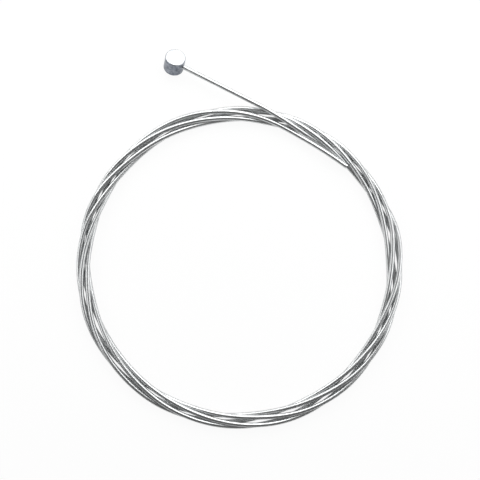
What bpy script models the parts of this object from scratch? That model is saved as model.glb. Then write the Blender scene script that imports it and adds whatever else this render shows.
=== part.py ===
"""Bicycle brake cable with a barrel end, wound in a loose twisted coil that lies flat.

Metres, +Z up. The coil lies on the plane z = 0, and the origin is on that plane under the middle of the
whole cable. Angles along the coil are in degrees, clockwise from +Y seen from above. The cable is followed
from its barrel end: it runs straight to the coil, goes about five times round, and ends in a square cut.
The turns are wrapped about each other, so that the coil holds itself together.
"""

import math

import bpy
import numpy as np
from mathutils import Matrix, Vector

MM = 0.001

# The cable
CABLE_DIAMETER = 1.6 * MM
TURN_CLEARANCE = 0.24 * MM
TUBE_RESOLUTION = 2

# The barrel end
BARREL_DIAMETER = 7.0 * MM
BARREL_LENGTH = 6.0 * MM
RIM_ROUNDING = 0.4 * MM
BARREL_TILT = math.radians(28.5)
BARREL_SEGMENTS = 48
BORE_CLEARANCE = 0.3 * MM
BORE_FLOOR = 1.2 * MM

# The coil
COIL_MIDDLE = (0.32 * MM, -9.44 * MM)
COIL_RADIUS = 53.9 * MM
OFF_CENTRE = 0.47 * MM
OVAL = 0.37 * MM
WIDE_SIDE = 280.0
TURNS = 5
TWISTS_A_TURN = 3
STATIONS_A_TURN = 48
SETTLING_ROUNDS = 400

# Where a strand crosses the top of the bundle on its way inwards: the angle, and the bundle's half width
# there, between strand centres, in cable diameters
CROSSINGS = [
    (5, 0.96), (22, 0.98), (40, 0.98), (60, 1.11), (81, 1.37), (101, 1.13), (117, 0.98), (138, 1.19),
    (165, 1.35), (190, 1.09), (218, 1.17), (255, 1.26), (275, 0.72), (291, 1.04), (306, 1.11), (337, 0.94),
]

# The lead, from where it meets the bundle: the angle, how far outside the coil's radius it is and how high
# above the surface it lies, both in cable diameters
LEAD = [
    (9, 1.17, 2.10), (12, 0.50, 2.18), (15, 0.00, 2.20), (20, -0.70, 1.95), (25, -1.19, 1.40),
    (30, -1.38, 0.90), (35, -1.44, 0.50), (40, -1.38, 0.20), (45, -1.12, 0.00),
]
LEAD_JOINS = (42.0, 78.0)
BARREL_PLACE = (-22.8 * MM, 70.9 * MM)
LEAD_POINTS = 14

# The tail, from where it leaves the twist to its cut end: the same three values
TAIL = [
    (335, 1.12, 0.70), (340, 1.06, 0.80), (345, 0.86, 0.95), (350, 0.56, 1.05), (355, 0.25, 1.10),
    (360, -0.12, 1.10), (365, -0.56, 1.05), (370, -1.00, 0.95), (375, -1.44, 0.75), (380, -1.88, 0.62),
    (385, -2.17, 0.70), (390, -2.26, 0.80), (395, -2.24, 0.95), (400, -2.00, 1.10), (406.5, -1.50, 1.25),
]
TAIL_LEAVES = (315.0, 335.0)


def through(x, known, values):
    """Reads at x a smooth curve that passes through the known values: a cubic in each gap, whose slope at
    each known place is the mean slope there."""
    known = np.asarray(known, float)
    values = np.asarray(values, float)
    slopes = np.gradient(values, known)
    left = np.clip(np.searchsorted(known, x) - 1, 0, len(known) - 2)
    gap = known[left + 1] - known[left]
    t = (x - known[left]) / gap
    start, end = values[left], values[left + 1]
    leaving, arriving = slopes[left] * gap, slopes[left + 1] * gap
    square = 3 * (end - start) - 2 * leaving - arriving
    cube = 2 * (start - end) + leaving + arriving
    return start + leaving * t + square * t**2 + cube * t**3


def round_the_coil(angle, values, gain=0.0):
    """Reads values given at CROSSINGS at any angle, each turn raising them by gain."""
    turns = range(-1, TURNS + 2)
    known = [crossing[0] + 360 * turn for turn in turns for crossing in CROSSINGS]
    raised = [value + gain * turn for turn in turns for value in values]
    return through(angle, known, raised)


def ease(angle, limits):
    """Goes smoothly from 0 at the first limit to 1 at the second."""
    t = np.clip((angle - limits[0]) / (limits[1] - limits[0]), 0, 1)
    return t * t * (3 - 2 * t)


def coil_radius(angle):
    """The coil's middle radius at an angle: a circle, a little off its centre and a little oval."""
    turn = np.radians(angle - WIDE_SIDE)
    return COIL_RADIUS + OFF_CENTRE * np.cos(turn) + OVAL * np.cos(2 * turn)


def rounded(value, power):
    """A sine or cosine swelled by a power below 1, which makes a circle a rounded box."""
    return np.sign(value) * np.abs(value) ** power


def twisted_place(angle):
    """Each strand's radius and height in the twisted bundle. It goes round the bundle's section TWISTS_A_TURN
    times a turn and a share more, so that the strands stay evenly spread about the section."""
    count = np.arange(len(CROSSINGS))
    half_width = round_the_coil(angle % 360, [crossing[1] for crossing in CROSSINGS]) * CABLE_DIAMETER
    half_height = (CABLE_DIAMETER + TURN_CLEARANCE) / 2
    crossed = round_the_coil(angle, count, len(CROSSINGS)) / len(CROSSINGS)
    phase = math.pi / 2 + 2 * math.pi * (TWISTS_A_TURN + 1 / TURNS) * crossed
    radius = coil_radius(angle) + half_width * rounded(np.cos(phase), 0.8)
    height = CABLE_DIAMETER / 2 + half_height * (1 + rounded(np.sin(phase), 0.5))
    return np.stack([radius, height], axis=-1)


def guided_place(angle, rows):
    """Radius and height along rows of angle, distance outside the coil's radius, and height in layers."""
    known = [row[0] for row in rows]
    held = np.clip(angle, known[0], known[-1])
    radius = coil_radius(angle) + through(held, known, [row[1] for row in rows]) * CABLE_DIAMETER
    height = CABLE_DIAMETER * (0.5 + through(held, known, [row[2] for row in rows]))
    return np.stack([radius, height], axis=-1)


def blend(first, second, share):
    """Goes from the first places to the second as share goes from 0 to 1."""
    return first + (second - first) * share[:, None]


def settle(places):
    """Pushes apart the strands that lie nearer than a cable's diameter and the clearance, and lifts them off
    the surface, while each strand's shift stays smooth along it. A turn's strand has its neighbours at the
    same stations of the other turns."""
    need = CABLE_DIAMETER + TURN_CLEARANCE
    settled = places.copy()
    for number in range(SETTLING_ROUNDS):
        push = np.zeros_like(settled)
        for apart in range(STATIONS_A_TURN, len(settled), STATIONS_A_TURN):
            between = settled[apart:] - settled[:-apart]
            distance = np.maximum(np.linalg.norm(between, axis=1), 1e-3 * need)
            move = between / distance[:, None] * (np.maximum(need - distance, 0) / 2)[:, None]
            push[apart:] += move
            push[:-apart] -= move
        settled += 0.9 * push
        if number < SETTLING_ROUNDS - 40:
            shift = settled - places
            shift[1:-1] = (shift[:-2] + 2 * shift[1:-1] + shift[2:]) / 4
            settled = places + shift * (0.985 if number < SETTLING_ROUNDS - 120 else 1)
        settled[:, 1] = np.maximum(settled[:, 1], CABLE_DIAMETER / 2)
    return settled


def coil_points():
    """The centreline in the coil, one point at each station, from where the lead meets it to the cut end."""
    step = 360 / STATIONS_A_TURN
    last = TAIL[-1][0] + 360 * (TURNS - 1)
    angle = np.arange(LEAD[0][0], last + step / 2, step)
    places = twisted_place(angle)
    places = blend(guided_place(angle, LEAD), places, ease(angle, LEAD_JOINS))
    tail_angle = angle - 360 * (TURNS - 1)
    places = blend(places, guided_place(tail_angle, TAIL), ease(tail_angle, TAIL_LEAVES))
    radius, height = settle(places).T
    turn = np.radians(angle)
    return np.stack([
        COIL_MIDDLE[0] + radius * np.sin(turn),
        COIL_MIDDLE[1] + radius * np.cos(turn),
        height,
    ], axis=-1)


def barrel_centre():
    """The barrel's middle: it stands on the rounded rim of its tilted end."""
    up = (BARREL_LENGTH / 2 - RIM_ROUNDING) * math.cos(BARREL_TILT)
    out = (BARREL_DIAMETER / 2 - RIM_ROUNDING) * math.sin(BARREL_TILT)
    height = up + out + RIM_ROUNDING
    return Vector((COIL_MIDDLE[0] + BARREL_PLACE[0], COIL_MIDDLE[1] + BARREL_PLACE[1], height))


def barrel_turn(lead):
    """The barrel's own axes as a rotation: +X along the lead, +Z along its axis, which leans by BARREL_TILT
    about the lead."""
    along = lead.normalized()
    level = Vector((0, 0, 1)).cross(along).normalized()
    upright = along.cross(level)
    axis = upright * math.cos(BARREL_TILT) + level * math.sin(BARREL_TILT)
    return Matrix((along, axis.cross(along), axis)).transposed()


def cable_points():
    """The whole centreline: from its seat in the barrel's bore, straight to the coil, and round it."""
    coil = coil_points()
    centre = np.array(barrel_centre())
    landing = coil[0]
    along = (landing - centre) / np.linalg.norm(landing - centre)
    seat = centre + along * (BORE_FLOOR + BORE_CLEARANCE - BARREL_DIAMETER / 2)
    share = np.linspace(0, 1, LEAD_POINTS, endpoint=False)[:, None]
    return np.concatenate([seat + (landing - seat) * share, coil])


def steel(name, colour, metallic, roughness):
    """A Principled material with one colour."""
    material = bpy.data.materials.new(name)
    material.use_nodes = True
    shader = material.node_tree.nodes["Principled BSDF"]
    shader.inputs["Base Color"].default_value = (*colour, 1)
    shader.inputs["Metallic"].default_value = metallic
    shader.inputs["Roughness"].default_value = roughness
    return material


def make_cable(collection, points):
    """The cable as one round tube along its centreline."""
    curve = bpy.data.curves.new("cable", "CURVE")
    curve.dimensions = "3D"
    curve.twist_mode = "Z_UP"
    curve.bevel_depth = CABLE_DIAMETER / 2
    curve.bevel_resolution = TUBE_RESOLUTION
    curve.use_fill_caps = True
    spline = curve.splines.new("POLY")
    spline.points.add(len(points) - 1)
    for target, point in zip(spline.points, points):
        target.co = (*point, 1)
    curve.materials.append(steel("stainless_strand", (0.55, 0.55, 0.56), 1.0, 0.35))
    collection.objects.link(bpy.data.objects.new("cable", curve))


def make_bore_cutter(collection, barrel):
    """The radial bore that the cable's end is seated in, open on the barrel's +X side."""
    depth = BARREL_DIAMETER - BORE_FLOOR
    bpy.ops.mesh.primitive_cylinder_add(
        vertices=24, radius=CABLE_DIAMETER / 2 + BORE_CLEARANCE, depth=2 * depth,
        location=(BORE_FLOOR - BARREL_DIAMETER / 2 + depth, 0, 0), rotation=(0, math.pi / 2, 0))
    cutter = bpy.context.object
    cutter.name = "bore_cutter"
    cutter.parent = barrel
    cutter.hide_render = True
    cutter.display_type = "WIRE"
    move_to(cutter, collection)
    return cutter


def make_barrel(parts, cutters, landing):
    """The cast barrel end: a short cylinder with rounded rims and a blind radial bore for the cable."""
    bpy.ops.mesh.primitive_cylinder_add(
        vertices=BARREL_SEGMENTS, radius=BARREL_DIAMETER / 2, depth=BARREL_LENGTH)
    barrel = bpy.context.object
    barrel.name = "barrel_end"
    move_to(barrel, parts)
    cutter = make_bore_cutter(cutters, barrel)
    rims = barrel.modifiers.new("rounded_rims", "BEVEL")
    rims.width = RIM_ROUNDING
    rims.segments = 3
    rims.limit_method = "ANGLE"
    rims.angle_limit = math.radians(40)
    bore = barrel.modifiers.new("cable_bore", "BOOLEAN")
    bore.object = cutter
    bore.operation = "DIFFERENCE"
    bore.solver = "EXACT"
    centre = barrel_centre()
    turn = barrel_turn(Vector(landing) - centre)
    barrel.matrix_world = Matrix.Translation(centre) @ turn.to_4x4()
    barrel.data.materials.append(steel("cast_zinc", (0.50, 0.52, 0.56), 0.9, 0.4))
    barrel.data.shade_smooth()
    barrel.data.set_sharp_from_angle(angle=math.radians(35))


def move_to(thing, collection):
    """Takes an object out of the collections that it is in and puts it in this one."""
    for old in list(thing.users_collection):
        old.objects.unlink(thing)
    collection.objects.link(thing)


def main():
    """Clears the scene and models the cable."""
    for thing in list(bpy.data.objects):
        bpy.data.objects.remove(thing, do_unlink=True)
    parts = bpy.data.collections.new("bicycle_cable")
    cutters = bpy.data.collections.new("cutters")
    for collection in (parts, cutters):
        bpy.context.scene.collection.children.link(collection)
    points = cable_points()
    make_cable(parts, points)
    make_barrel(parts, cutters, points[LEAD_POINTS])
    bpy.context.view_layer.update()


main()
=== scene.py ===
"""Bicycle brake cable with a barrel end, wound in a loose twisted coil on a white table.

Metres, +Z up, +Y towards the picture's top. The cable's route is worked out as the model's is. Its strand
is laid up from real wires: one core wire, six inner wires and twelve outer wires, each along a helix about
the strand's own line, and the outer ones pressed smooth. The cast barrel end is a turned profile.
"""

import math

import bpy
import mathutils
import numpy as np
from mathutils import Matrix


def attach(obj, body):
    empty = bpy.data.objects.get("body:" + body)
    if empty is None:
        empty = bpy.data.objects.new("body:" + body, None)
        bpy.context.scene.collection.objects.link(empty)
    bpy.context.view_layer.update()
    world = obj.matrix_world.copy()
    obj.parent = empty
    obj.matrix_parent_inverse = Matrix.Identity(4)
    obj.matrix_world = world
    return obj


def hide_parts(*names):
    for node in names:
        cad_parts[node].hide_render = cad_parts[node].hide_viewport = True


MM = 0.001
BODY = "root"

# The cable's route, as in the model
CABLE_DIAMETER = 1.6 * MM
TURN_CLEARANCE = 0.24 * MM
BARREL_DIAMETER = 7.0 * MM
BARREL_LENGTH = 6.0 * MM
RIM_ROUNDING = 0.4 * MM
BARREL_TILT = math.radians(28.5)
COIL_MIDDLE = (0.32 * MM, -9.44 * MM)
COIL_RADIUS = 53.9 * MM
OFF_CENTRE = 0.47 * MM
OVAL = 0.37 * MM
WIDE_SIDE = 280.0
TURNS = 5
TWISTS_A_TURN = 3
WIDTH_SWELL = 0.8
HEIGHT_SWELL = 0.5
STATIONS_A_TURN = 48
CROSSINGS = [
    (5, 0.96), (22, 0.98), (40, 0.98), (60, 1.11), (81, 1.37), (101, 1.13), (117, 0.98), (138, 1.19),
    (165, 1.35), (190, 1.09), (218, 1.17), (255, 1.26), (275, 0.72), (291, 1.04), (306, 1.11), (337, 0.94),
]
LEAD = [
    (9, 1.17, 2.10), (12, 0.50, 2.18), (15, 0.00, 2.20), (20, -0.70, 1.95), (25, -1.19, 1.40),
    (30, -1.38, 0.90), (35, -1.44, 0.50), (40, -1.38, 0.20), (45, -1.12, 0.00),
]
LEAD_JOINS = (42.0, 78.0)
BARREL_PLACE = (-22.8 * MM, 70.9 * MM)
LEAD_POINTS = 14
TAIL = [
    (335, 1.12, 0.70), (340, 1.06, 0.80), (345, 0.86, 0.95), (350, 0.56, 1.05), (355, 0.25, 1.10),
    (360, -0.12, 1.10), (365, -0.56, 1.05), (370, -1.00, 0.95), (375, -1.44, 0.75), (380, -1.88, 0.62),
    (385, -2.17, 0.70), (390, -2.26, 0.80), (395, -2.24, 0.95), (400, -2.00, 1.10), (406.5, -1.50, 1.25),
]
TAIL_LEAVES = (315.0, 335.0)
SEAT_DEPTH = 5.5 * MM

# How the turns settle: rounds in all, and the last ones with no pull back and with no smoothing
SETTLING_ROUNDS = 400
FIRM_ROUNDS = 120
FREE_ROUNDS = 40
PUSH_SHARE = 0.9
PULL_BACK = 0.985

# The strand's wires
WIRE_DIAMETER = 0.31 * MM
OUTER_WIRES = 12
INNER_WIRES = 6
LAY = 11.5 * MM
LEFT_HAND = -1
OUTER_RINGS_A_LAY = 16
INNER_RINGS_A_LAY = 12
SPLINE_STEPS = 24

# Half a wire's section, from its outer to its inner middle: places beside and outward, in wire diameters
PRESSED_WIRE = [(0, 0.5), (0.34, 0.478), (0.60, 0.405), (0.53, 0.10), (0.37, -0.37), (0, -0.5)]
ROUND_WIRE = [(0, 0.5), (0.433, 0.25), (0.433, -0.25), (0, -0.5)]

# The steel's streaks: the length that their map covers, a streak's length, and how many lie round a wire
STREAKED_LENGTH = 1.77
STREAK_LENGTH = 1.6 * MM
STREAKS_ROUND = 5

# The barrel end's profile: its places on a rim, on a face and on the side, and where on a face it starts
RIM_PLACES = 9
FACE_PLACES = 8
SIDE_PLACES = 9
FACE_START = 0.25

# The barrel end's painted light and shade: how far from the profile's middle the darker side reaches, and
# from where the brighter face lies
SIDE_SHARE = 0.13
FACE_SHARE = 0.22

# Turned shapes and shading
ROUND_SIDES = 96
SHARP_ANGLE = math.radians(50)

# The picture
CAMERA_PLACE = (0.15 * MM, 0.13 * MM, 300 * MM)
PICTURE_WIDTH = 167.0 * MM
PICTURE_LEVEL = 2.2 * MM

# The table: its plain white light as seen and as mirrored, and the radius of its flat part and of its sweep
TABLE_WHITE = 0.93
TABLE_MIRRORED = 0.3
TABLE_RADIUS = 3.0
TABLE_SWEEP = 0.6
TABLE_PLACES = 13

# The light: the room's grey, where the panels aim, and their name, place, width and height, and brightness
ROOM = 0.12
PANELS_AIM = (0, -0.01, 0)
PANELS = [
    ("window", (0.07, 0.24, 0.19), (0.36, 0.28), 2.6),
    ("top_panel", (0.04, 0.22, 0.33), (0.30, 0.26), 1.35),
    ("back_left_panel", (-0.22, 0.21, 0.16), (0.24, 0.22), 2.8),
    ("right_panel", (0.24, 0.00, 0.18), (0.24, 0.22), 1.9),
    ("left_panel", (-0.26, -0.04, 0.18), (0.22, 0.18), 1.7),
]


def through(x, known, values):
    """Reads at x a smooth curve through the known values: p + m t + a t^2 + b t^3 in each gap, whose slope
    at each known place is the mean slope there."""
    known = np.asarray(known, float)
    values = np.asarray(values, float)
    slopes = np.gradient(values, known)
    left = np.clip(np.searchsorted(known, x) - 1, 0, len(known) - 2)
    gap = known[left + 1] - known[left]
    t = (x - known[left]) / gap
    start, end = values[left], values[left + 1]
    leaving, arriving = slopes[left] * gap, slopes[left + 1] * gap
    square = 3 * (end - start) - 2 * leaving - arriving
    cube = 2 * (start - end) + leaving + arriving
    return start + leaving * t + square * t**2 + cube * t**3


def round_the_coil(angle, values, gain=0.0):
    """Reads values given at CROSSINGS at any angle, each turn raising them by gain."""
    turns = range(-1, TURNS + 2)
    known = [crossing[0] + 360 * turn for turn in turns for crossing in CROSSINGS]
    raised = [value + gain * turn for turn in turns for value in values]
    return through(angle, known, raised)


def ease(angle, limits):
    """3 t^2 - 2 t^3, which goes smoothly from 0 at the first limit to 1 at the second."""
    t = np.clip((angle - limits[0]) / (limits[1] - limits[0]), 0, 1)
    return t * t * (3 - 2 * t)


def coil_radius(angle):
    """R + e cos(u) + o cos(2 u), with u the angle from the wide side: a circle off its centre and oval."""
    turn = np.radians(angle - WIDE_SIDE)
    return COIL_RADIUS + OFF_CENTRE * np.cos(turn) + OVAL * np.cos(2 * turn)


def rounded(value, power):
    """sign(v) |v|^p: a sine or cosine swelled by a power below 1, which makes a circle a rounded box."""
    return np.sign(value) * np.abs(value) ** power


def twisted_place(angle):
    """Radius and height of each strand in the twisted bundle, R + a cos(p) and H + b (1 + sin(p)) with the
    cosine and sine swelled. The phase p goes round the bundle's section, a rounded box, TWISTS_A_TURN times
    a turn and a share more, so that the strands stay evenly spread about it."""
    count = np.arange(len(CROSSINGS))
    half_width = round_the_coil(angle % 360, [crossing[1] for crossing in CROSSINGS]) * CABLE_DIAMETER
    half_height = (CABLE_DIAMETER + TURN_CLEARANCE) / 2
    crossed = round_the_coil(angle, count, len(CROSSINGS)) / len(CROSSINGS)
    phase = math.pi / 2 + 2 * math.pi * (TWISTS_A_TURN + 1 / TURNS) * crossed
    radius = coil_radius(angle) + half_width * rounded(np.cos(phase), WIDTH_SWELL)
    height = CABLE_DIAMETER / 2 + half_height * (1 + rounded(np.sin(phase), HEIGHT_SWELL))
    return np.stack([radius, height], axis=-1)


def guided_place(angle, rows):
    """Radius and height, R + d w and (1/2 + n) w with w the cable's width, along rows of angle, distance d
    outside the coil's radius R, and height n in layers."""
    known = [row[0] for row in rows]
    held = np.clip(angle, known[0], known[-1])
    radius = coil_radius(angle) + through(held, known, [row[1] for row in rows]) * CABLE_DIAMETER
    height = CABLE_DIAMETER * (0.5 + through(held, known, [row[2] for row in rows]))
    return np.stack([radius, height], axis=-1)


def settle(places):
    """Pushes apart the strands that lie nearer than a cable's diameter and the clearance, and lifts them off
    the table, while each strand's shift s stays smooth along it, as (s before + 2 s + s after) / 4."""
    need = CABLE_DIAMETER + TURN_CLEARANCE
    settled = places.copy()
    for number in range(SETTLING_ROUNDS):
        push = np.zeros_like(settled)
        for apart in range(STATIONS_A_TURN, len(settled), STATIONS_A_TURN):
            between = settled[apart:] - settled[:-apart]
            distance = np.maximum(np.linalg.norm(between, axis=1), 1e-3 * need)
            move = between / distance[:, None] * (np.maximum(need - distance, 0) / 2)[:, None]
            push[apart:] += move
            push[:-apart] -= move
        settled += PUSH_SHARE * push
        if number < SETTLING_ROUNDS - FREE_ROUNDS:
            shift = settled - places
            shift[1:-1] = (shift[:-2] + 2 * shift[1:-1] + shift[2:]) / 4
            settled = places + shift * (PULL_BACK if number < SETTLING_ROUNDS - FIRM_ROUNDS else 1)
        settled[:, 1] = np.maximum(settled[:, 1], CABLE_DIAMETER / 2)
    return settled


def coil_points():
    """The route in the coil, one point at each station, from where the lead meets it to the cut end: the
    coil's middle and (r sin a, r cos a, h), with a the angle from +Y towards +X."""
    step = 360 / STATIONS_A_TURN
    last = TAIL[-1][0] + 360 * (TURNS - 1)
    angle = np.arange(LEAD[0][0], last + step / 2, step)
    places = twisted_place(angle)
    lead = guided_place(angle, LEAD)
    places = lead + (places - lead) * ease(angle, LEAD_JOINS)[:, None]
    tail_angle = angle - 360 * (TURNS - 1)
    tail = guided_place(tail_angle, TAIL)
    places = places + (tail - places) * ease(tail_angle, TAIL_LEAVES)[:, None]
    radius, height = settle(places).T
    turn = np.radians(angle)
    return np.stack([
        COIL_MIDDLE[0] + radius * np.sin(turn),
        COIL_MIDDLE[1] + radius * np.cos(turn),
        height,
    ], axis=-1)


def unit(vectors):
    """v / |v| for each row."""
    return vectors / np.linalg.norm(vectors, axis=-1, keepdims=True)


def barrel_axes(landing):
    """The barrel's middle and its own axes: X along the lead, and Z along its axis, cos(t) X x L + sin(t) L,
    with t the lean and L level and square to the lead."""
    up = (BARREL_LENGTH / 2 - RIM_ROUNDING) * math.cos(BARREL_TILT)
    out = (BARREL_DIAMETER / 2 - RIM_ROUNDING) * math.sin(BARREL_TILT)
    centre = np.array([COIL_MIDDLE[0] + BARREL_PLACE[0], COIL_MIDDLE[1] + BARREL_PLACE[1],
                       up + out + RIM_ROUNDING])
    along = unit(landing - centre)
    level = unit(np.cross([0, 0, 1], along))
    axis = np.cross(along, level) * math.cos(BARREL_TILT) + level * math.sin(BARREL_TILT)
    return centre, np.stack([along, np.cross(axis, along), axis])


def route():
    """The whole route: from its seat in the barrel end, straight to the coil, and round it."""
    coil = coil_points()
    centre, axes = barrel_axes(coil[0])
    seat = centre + axes[0] * (BARREL_DIAMETER / 2 - SEAT_DEPTH)
    share = np.linspace(0, 1, LEAD_POINTS, endpoint=False)[:, None]
    return np.concatenate([seat + (coil[0] - seat) * share, coil]), centre, axes


def smooth_line(points, step):
    """A cubic B-spline along the route's points, (1-t)^3/6 and so on as weights, read at even steps."""
    first, last = 2 * points[0] - points[1], 2 * points[-1] - points[-2]
    padded = np.concatenate([[first], points, [last]])
    t = np.linspace(0, 1, SPLINE_STEPS, endpoint=False)[None, :, None]
    a, b, c, d = (padded[i:len(padded) - 3 + i, None] for i in range(4))
    dense = ((1 - t)**3 * a + (3 * t**3 - 6 * t**2 + 4) * b
             + (1 + 3 * t + 3 * t**2 - 3 * t**3) * c + t**3 * d) / 6
    dense = np.concatenate([dense.reshape(-1, 3), [points[-1]]])
    travelled = np.concatenate([[0], np.cumsum(np.linalg.norm(np.diff(dense, axis=0), axis=1))])
    read = np.linspace(0, travelled[-1], round(travelled[-1] / step) + 1)
    line = np.stack([np.interp(read, travelled, dense[:, axis]) for axis in range(3)], axis=-1)
    return line, read


def mesh_from_grid(name, grid, material):
    """A closed tube or turned shape from a grid of points, rings by sides: quads between the rings, and a
    fan to a middle point at each end. Its UV map runs along the rings and round the sides."""
    rings, sides = grid.shape[:2]
    points = np.concatenate([grid.reshape(-1, 3), grid[:1].mean(axis=1), grid[-1:].mean(axis=1)])
    ring, side = np.meshgrid(np.arange(rings - 1), np.arange(sides), indexing="ij")
    after = (side + 1) % sides
    quads = np.stack([ring * sides + side, ring * sides + after,
                      (ring + 1) * sides + after, (ring + 1) * sides + side], axis=-1).reshape(-1, 4)
    around = np.arange(sides)
    nearer = np.stack([np.roll(around, -1), around, np.full(sides, rings * sides)], axis=-1)
    further = np.stack([around, np.roll(around, -1), np.full(sides, rings * sides + 1)], axis=-1)
    further[:, :2] += (rings - 1) * sides
    loops = np.concatenate([quads.ravel(), nearer.ravel(), further.ravel()])
    sizes = np.concatenate([np.full(len(quads), 4), np.full(2 * sides, 3)])
    mesh = bpy.data.meshes.new(name)
    mesh.vertices.add(len(points))
    mesh.vertices.foreach_set("co", points.ravel())
    mesh.loops.add(len(loops))
    mesh.loops.foreach_set("vertex_index", loops)
    mesh.polygons.add(len(sizes))
    mesh.polygons.foreach_set("loop_start", np.concatenate([[0], np.cumsum(sizes)[:-1]]))
    layer = mesh.uv_layers.new(name="along_and_round")
    along = (ring / (rings - 1)).ravel()[:, None] + np.array([0, 0, 1, 1]) / (rings - 1)
    turned = (side / sides).ravel()[:, None] + np.array([0, 1, 1, 0]) / sides
    ends = np.zeros((2 * sides * 3, 2))
    ends[sides * 3:, 0] = 1
    layer.uv.foreach_set("vector", np.concatenate(
        [np.stack([along.ravel(), turned.ravel()], axis=-1), ends]).ravel())
    mesh.update(calc_edges=True)
    mesh.validate()
    mesh.materials.append(material)
    piece = bpy.data.objects.new(name, mesh)
    bpy.context.scene.collection.objects.link(piece)
    mesh.shade_smooth()
    mesh.set_sharp_from_angle(angle=SHARP_ANGLE)
    return piece


class Shade:
    """A socket of a material, with Python's operators adding its Math nodes."""

    def __init__(self, tree, socket):
        self.tree = tree
        self.socket = socket

    def math(self, operation, *values):
        return make_node(self.tree, "ShaderNodeMath", {"operation": operation}, dict(enumerate(values)))

    def __add__(self, other):
        return self.math("ADD", self, other)

    def __mul__(self, other):
        return self.math("MULTIPLY", self, other)

    def __sub__(self, other):
        return self.math("SUBTRACT", self, other)

    def __rsub__(self, other):
        return self.math("SUBTRACT", other, self)

    __radd__ = __add__
    __rmul__ = __mul__


def set_stops(elements, stops):
    """Gives a colour ramp these stops of place and colour."""
    while len(elements) < len(stops):
        elements.new(1)
    for element, (place, colour) in zip(elements, stops):
        element.position = place
        element.color = (*colour, 1)


def make_node(tree, kind, settings=None, values=None, out=0):
    """Adds a node of a kind: its settings or a ramp's stops first, then its sockets' values or links."""
    node = tree.nodes.new(kind)
    for key, value in (settings or {}).items():
        if key == "stops":
            set_stops(node.color_ramp.elements, value)
        else:
            setattr(node, key, value)
    for key, value in (values or {}).items():
        if isinstance(value, Shade):
            tree.links.new(value.socket, node.inputs[key])
        else:
            node.inputs[key].default_value = value
    return Shade(tree, node.outputs[out])


def new_material(name):
    """A material with a Principled shader, its node tree and that shader."""
    material = bpy.data.materials.new(name)
    material.use_nodes = True
    tree = material.node_tree
    return material, tree, tree.nodes["Principled BSDF"]


def drawn_steel():
    """Bright drawn stainless wire: metal, with streaks along each wire from its own UV map, slow changes of
    tone along the cable from its place, and painted shade in the grooves, where (1 - cos(2 pi v)) / 2 is
    over 0.25."""
    material, tree, shader = new_material("stainless_strand")
    place = make_node(tree, "ShaderNodeTexCoord", out="Object")
    own = make_node(tree, "ShaderNodeUVMap", {"uv_map": "along_and_round"})
    stretched = make_node(tree, "ShaderNodeMapping", values={
        "Vector": own, "Scale": (STREAKED_LENGTH / STREAK_LENGTH, STREAKS_ROUND, 1)})
    slow = make_node(tree, "ShaderNodeTexNoise", values={"Vector": place, "Scale": 160, "Detail": 3})
    streaks = make_node(tree, "ShaderNodeTexNoise", values={"Vector": stretched, "Scale": 1.0, "Detail": 4})
    round_wire = make_node(tree, "ShaderNodeSeparateXYZ", values={"Vector": own}, out="Y")
    inward = 0.5 - round_wire.math("COSINE", round_wire * (2 * math.pi)) * 0.5
    # Painted shade: the colour drops to 0.4 on each wire's flanks that face into the strand, where the
    # grooves between the wires lie
    painted_groove_shade = make_node(tree, "ShaderNodeMapRange", values={
        "Value": inward, "From Min": 0.25, "From Max": 0.55, "To Min": 1.0, "To Max": 0.4})
    tone = slow * 0.5 + streaks * 0.5
    colour = make_node(tree, "ShaderNodeValToRGB", {"stops": [
        (0.30, (0.59, 0.60, 0.60)), (0.70, (0.75, 0.765, 0.77))]}, {"Fac": tone})
    # The wire's colour with the painted groove shade multiplied in
    groove_shaded_colour = make_node(tree, "ShaderNodeVectorMath", {"operation": "SCALE"}, {0: colour, "Scale": painted_groove_shade})
    bump = make_node(tree, "ShaderNodeBump", values={
        "Height": streaks, "Strength": 0.25, "Distance": 0.02 * MM})
    tree.links.new(groove_shaded_colour.socket, shader.inputs["Base Color"])
    tree.links.new((streaks * 0.10 + 0.25).socket, shader.inputs["Roughness"])
    tree.links.new(bump.socket, shader.inputs["Normal"])
    shader.inputs["Metallic"].default_value = 1.0
    return material


def cast_zinc():
    """Cast zinc alloy, with painted light and shade: the end faces painted bright and the side painted
    darker, as the light falls on them. Along the profile the side lies where |u - 1/2| is under SIDE_SHARE,
    and a face where it is over FACE_SHARE. The skin is mottled and slightly uneven."""
    material, tree, shader = new_material("cast_zinc")
    place = make_node(tree, "ShaderNodeTexCoord", out="Object")
    own = make_node(tree, "ShaderNodeUVMap", {"uv_map": "along_and_round"})
    along = make_node(tree, "ShaderNodeSeparateXYZ", values={"Vector": own}, out="X")
    aside = along - 0.5
    # Painted light and shade: this mask lifts the end faces up the colour ramp to bright and leaves the side
    # at its dark end
    face = make_node(tree, "ShaderNodeMapRange", values={
        "Value": aside.math("ABSOLUTE", aside), "From Min": SIDE_SHARE, "From Max": FACE_SHARE,
        "To Min": 0.0, "To Max": 0.34})
    mottle = make_node(tree, "ShaderNodeTexNoise", values={"Vector": place, "Scale": 900, "Detail": 5})
    skin = make_node(tree, "ShaderNodeTexNoise", values={"Vector": place, "Scale": 420, "Detail": 2})
    # The ramp's blue-black stops are painted shade on the side and its light stops painted light on the
    # faces, mixed with the real mottle
    colour = make_node(tree, "ShaderNodeValToRGB", {"stops": [
        (0.16, (0.11, 0.125, 0.15)), (0.34, (0.30, 0.32, 0.36)),
        (0.50, (0.46, 0.48, 0.51)), (0.68, (0.56, 0.58, 0.60))]}, {"Fac": mottle * 0.5 + face})
    bump = make_node(tree, "ShaderNodeBump", values={
        "Height": skin * 0.7 + mottle * 0.3, "Strength": 0.35, "Distance": 0.15 * MM})
    tree.links.new(colour.socket, shader.inputs["Base Color"])
    tree.links.new((mottle * 0.25 + 0.20).socket, shader.inputs["Roughness"])
    tree.links.new(bump.socket, shader.inputs["Normal"])
    shader.inputs["Metallic"].default_value = 1.0
    return material


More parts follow.
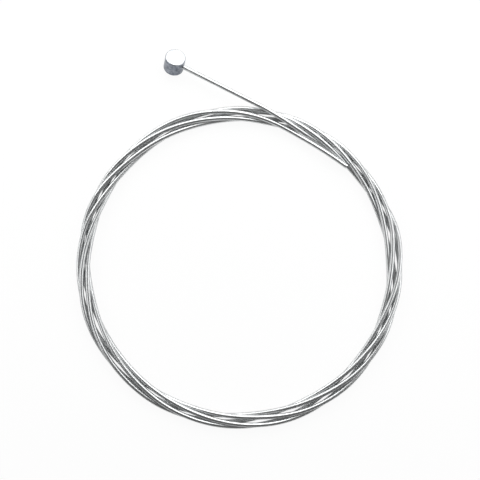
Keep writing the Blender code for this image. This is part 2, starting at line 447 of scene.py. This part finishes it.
def helix(line, travelled, radius, phase):
    """A wire's middle line: P + r (cos q U + sin q V), with q = phase - 2 pi s / LAY at s along the strand's
    line P, and U and V square to that line, U the more upright."""
    tangent = unit(np.gradient(line, axis=0))
    up = unit(np.array([0, 0, 1]) - tangent * tangent[:, 2:])
    side = np.cross(tangent, up)
    turn = (phase + LEFT_HAND * 2 * math.pi * travelled / LAY)[:, None]
    outward = np.cos(turn) * up + np.sin(turn) * side
    return line + radius * outward, outward, tangent


def wire(name, line, travelled, radius, phase, section, material):
    """A wire of the strand: W + w (b B + o N) for each place (b, o) round its section, with w its width, N
    pointing out of the strand, and B square to N and to the wire. Its ends are cut square to the strand."""
    middle, outward, strand_way = helix(line, travelled, radius, phase)
    way = unit(np.gradient(middle, axis=0))
    normal = unit(outward - way * (outward * way).sum(axis=1, keepdims=True))
    across = np.cross(way, normal)
    half = np.array(section) * WIRE_DIAMETER
    places = np.concatenate([half, half[-2:0:-1] * [-1, 1]])
    grid = middle[:, None] + places[:, :1] * across[:, None] + places[:, 1:] * normal[:, None]
    for end in (0, -1):
        short = ((line[end] - grid[end]) @ strand_way[end]) / (way[end] @ strand_way[end])
        grid[end] += short[:, None] * way[end]
    return mesh_from_grid(name, grid, material)


def make_strand(points, material):
    """Lays up the cable's wires, and returns them with the cable's line and length."""
    line, travelled = smooth_line(points, LAY / OUTER_RINGS_A_LAY)
    outer_radius = (CABLE_DIAMETER - WIRE_DIAMETER) / 2
    wires = []
    for number in range(OUTER_WIRES):
        phase = 2 * math.pi * number / OUTER_WIRES
        name = f"outer_wire_{number + 1:02d}"
        wires.append(wire(name, line, travelled, outer_radius, phase, PRESSED_WIRE, material))
    coarse, passed = smooth_line(points, LAY / INNER_RINGS_A_LAY)
    for number in range(INNER_WIRES):
        phase = 2 * math.pi * number / INNER_WIRES
        radius = outer_radius - WIRE_DIAMETER
        wires.append(wire(f"inner_wire_{number + 1}", coarse, passed, radius, phase, ROUND_WIRE, material))
    wires.append(wire("core_wire", coarse, passed, 0.0, 0.0, ROUND_WIRE, material))
    return wires, line, travelled[-1]


def make_barrel(centre, axes, material):
    """The barrel end: a profile of radius r and height h, with rounded rims, turned about the axis:
    C + r (cos a X + sin a Y) + h Z."""
    radius, half = BARREL_DIAMETER / 2, BARREL_LENGTH / 2
    bend = np.linspace(0, math.pi / 2, RIM_PLACES)
    rim = np.stack([
        radius - RIM_ROUNDING * (1 - np.sin(bend)),
        half - RIM_ROUNDING * (1 - np.cos(bend)),
    ], axis=-1)
    face = np.linspace(FACE_START, 1, FACE_PLACES, endpoint=False) * (radius - RIM_ROUNDING)
    top = np.concatenate([np.stack([face, np.full(FACE_PLACES, half)], axis=-1), rim])
    level = np.linspace(half, -half, SIDE_PLACES + 2)[1:-1] * (1 - RIM_ROUNDING / half)
    side = np.stack([np.full(SIDE_PLACES, radius), level], axis=-1)
    profile = np.concatenate([top, side, top[::-1] * [1, -1]])
    turn = np.linspace(0, 2 * math.pi, ROUND_SIDES, endpoint=False)
    ring = np.cos(turn)[:, None] * axes[0] + np.sin(turn)[:, None] * axes[1]
    grid = centre + profile[:, :1, None] * ring[None] + profile[:, 1:, None] * axes[2]
    return mesh_from_grid("cast_barrel_end", grid[:, ::-1], material)


def make_floor():
    """A white table: a flat disc whose far edge sweeps up, with a profile of radius R + s sin b and height
    s (1 - cos b) turned about +Z. The camera sees it mostly as plain white light, and the metal sees less of
    that light. The rest is its lit colour, which holds the cable's soft shadow."""
    bend = np.linspace(0, math.pi / 2, TABLE_PLACES)
    radius = np.concatenate([[0, TABLE_RADIUS / 3], TABLE_RADIUS + TABLE_SWEEP * np.sin(bend)])
    height = np.concatenate([[0, 0], TABLE_SWEEP * (1 - np.cos(bend))])
    turn = np.linspace(0, 2 * math.pi, ROUND_SIDES, endpoint=False)
    rings = np.stack([
        radius[:, None] * np.cos(turn),
        radius[:, None] * np.sin(turn),
        height[:, None] + 0 * turn,
    ], axis=-1)
    ring, side = np.meshgrid(np.arange(len(radius) - 1), np.arange(ROUND_SIDES), indexing="ij")
    inner, outer = ring * ROUND_SIDES, (ring + 1) * ROUND_SIDES
    after = (side + 1) % ROUND_SIDES
    quads = np.stack([inner + side, outer + side, outer + after, inner + after], axis=-1)
    mesh = bpy.data.meshes.new("table")
    mesh.from_pydata(rings.reshape(-1, 3).tolist(), [], quads.reshape(-1, 4).tolist())
    mesh.shade_smooth()
    floor = bpy.data.objects.new("table", mesh)
    bpy.context.scene.collection.objects.link(floor)
    material, tree, shader = new_material("white_table")
    shader.inputs["Base Color"].default_value = (0.9, 0.9, 0.9, 1)
    shader.inputs["Roughness"].default_value = 0.8
    shader.inputs["Specular IOR Level"].default_value = 0.1
    white = make_node(tree, "ShaderNodeEmission", values={"Color": (1, 1, 1, 1), "Strength": 1.0})
    looking = make_node(tree, "ShaderNodeLightPath", out="Is Camera Ray")
    mirrored = make_node(tree, "ShaderNodeLightPath", out="Is Glossy Ray")
    passing = make_node(tree, "ShaderNodeLightPath", out="Is Transmission Ray")
    seen = (looking + passing) * TABLE_WHITE + mirrored * TABLE_MIRRORED
    lit = make_node(tree, "ShaderNodeMixShader", values={"Fac": seen.math("MINIMUM", seen, 1.0)})
    tree.links.new(shader.outputs["BSDF"], lit.socket.node.inputs[1])
    tree.links.new(white.socket, lit.socket.node.inputs[2])
    tree.links.new(lit.socket, tree.nodes["Material Output"].inputs["Surface"])
    floor.data.materials.append(material)


def make_panel(name, place, size, brightness):
    """A soft light panel of this width and height, facing the coil's middle, as bright all over as a white
    surface would be at brightness 1: its power is brightness x pi x area."""
    light = bpy.data.lights.new(name, "AREA")
    light.shape = "RECTANGLE"
    light.size, light.size_y = size
    light.energy = brightness * math.pi * size[0] * size[1]
    panel = bpy.data.objects.new(name, light)
    panel.location = place
    aim = mathutils.Vector(PANELS_AIM) - panel.location
    panel.rotation_euler = aim.to_track_quat("-Z", "Y").to_euler()
    panel.visible_camera = False
    bpy.context.scene.collection.objects.link(panel)


def make_lights():
    """A light tent: panels on the sides of the table, and a plain grey room."""
    world = bpy.data.worlds.new("room")
    world.use_nodes = True
    bpy.context.scene.world = world
    background = world.node_tree.nodes["Background"]
    background.inputs["Color"].default_value = (ROOM, ROOM, ROOM, 1)
    background.inputs["Strength"].default_value = 1.0
    for panel in PANELS:
        make_panel(*panel)


def make_camera():
    """Straight down, with the width of the picture at the coil's level."""
    data = bpy.data.cameras.new("camera")
    distance = CAMERA_PLACE[2] - PICTURE_LEVEL
    data.angle = 2 * math.atan(PICTURE_WIDTH / 2 / distance)
    data.clip_start = 0.01
    camera = bpy.data.objects.new("camera", data)
    camera.location = CAMERA_PLACE
    bpy.context.scene.collection.objects.link(camera)
    bpy.context.scene.camera = camera


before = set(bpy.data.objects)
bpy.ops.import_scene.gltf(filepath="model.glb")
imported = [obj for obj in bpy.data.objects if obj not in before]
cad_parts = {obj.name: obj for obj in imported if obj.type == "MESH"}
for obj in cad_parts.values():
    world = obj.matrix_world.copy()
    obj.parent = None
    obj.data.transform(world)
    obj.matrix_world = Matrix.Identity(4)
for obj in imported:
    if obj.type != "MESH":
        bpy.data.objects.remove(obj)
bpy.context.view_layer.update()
bpy.context.scene.view_settings.view_transform = "Standard"

points, centre, axes = route()
make_camera()
steel = drawn_steel()
wires, line, length = make_strand(points, steel)
for piece in wires:
    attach(piece, BODY)
    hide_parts("cable")

barrel = make_barrel(centre, axes, cast_zinc())
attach(barrel, BODY)
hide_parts("barrel_end")

make_floor()
make_lights()
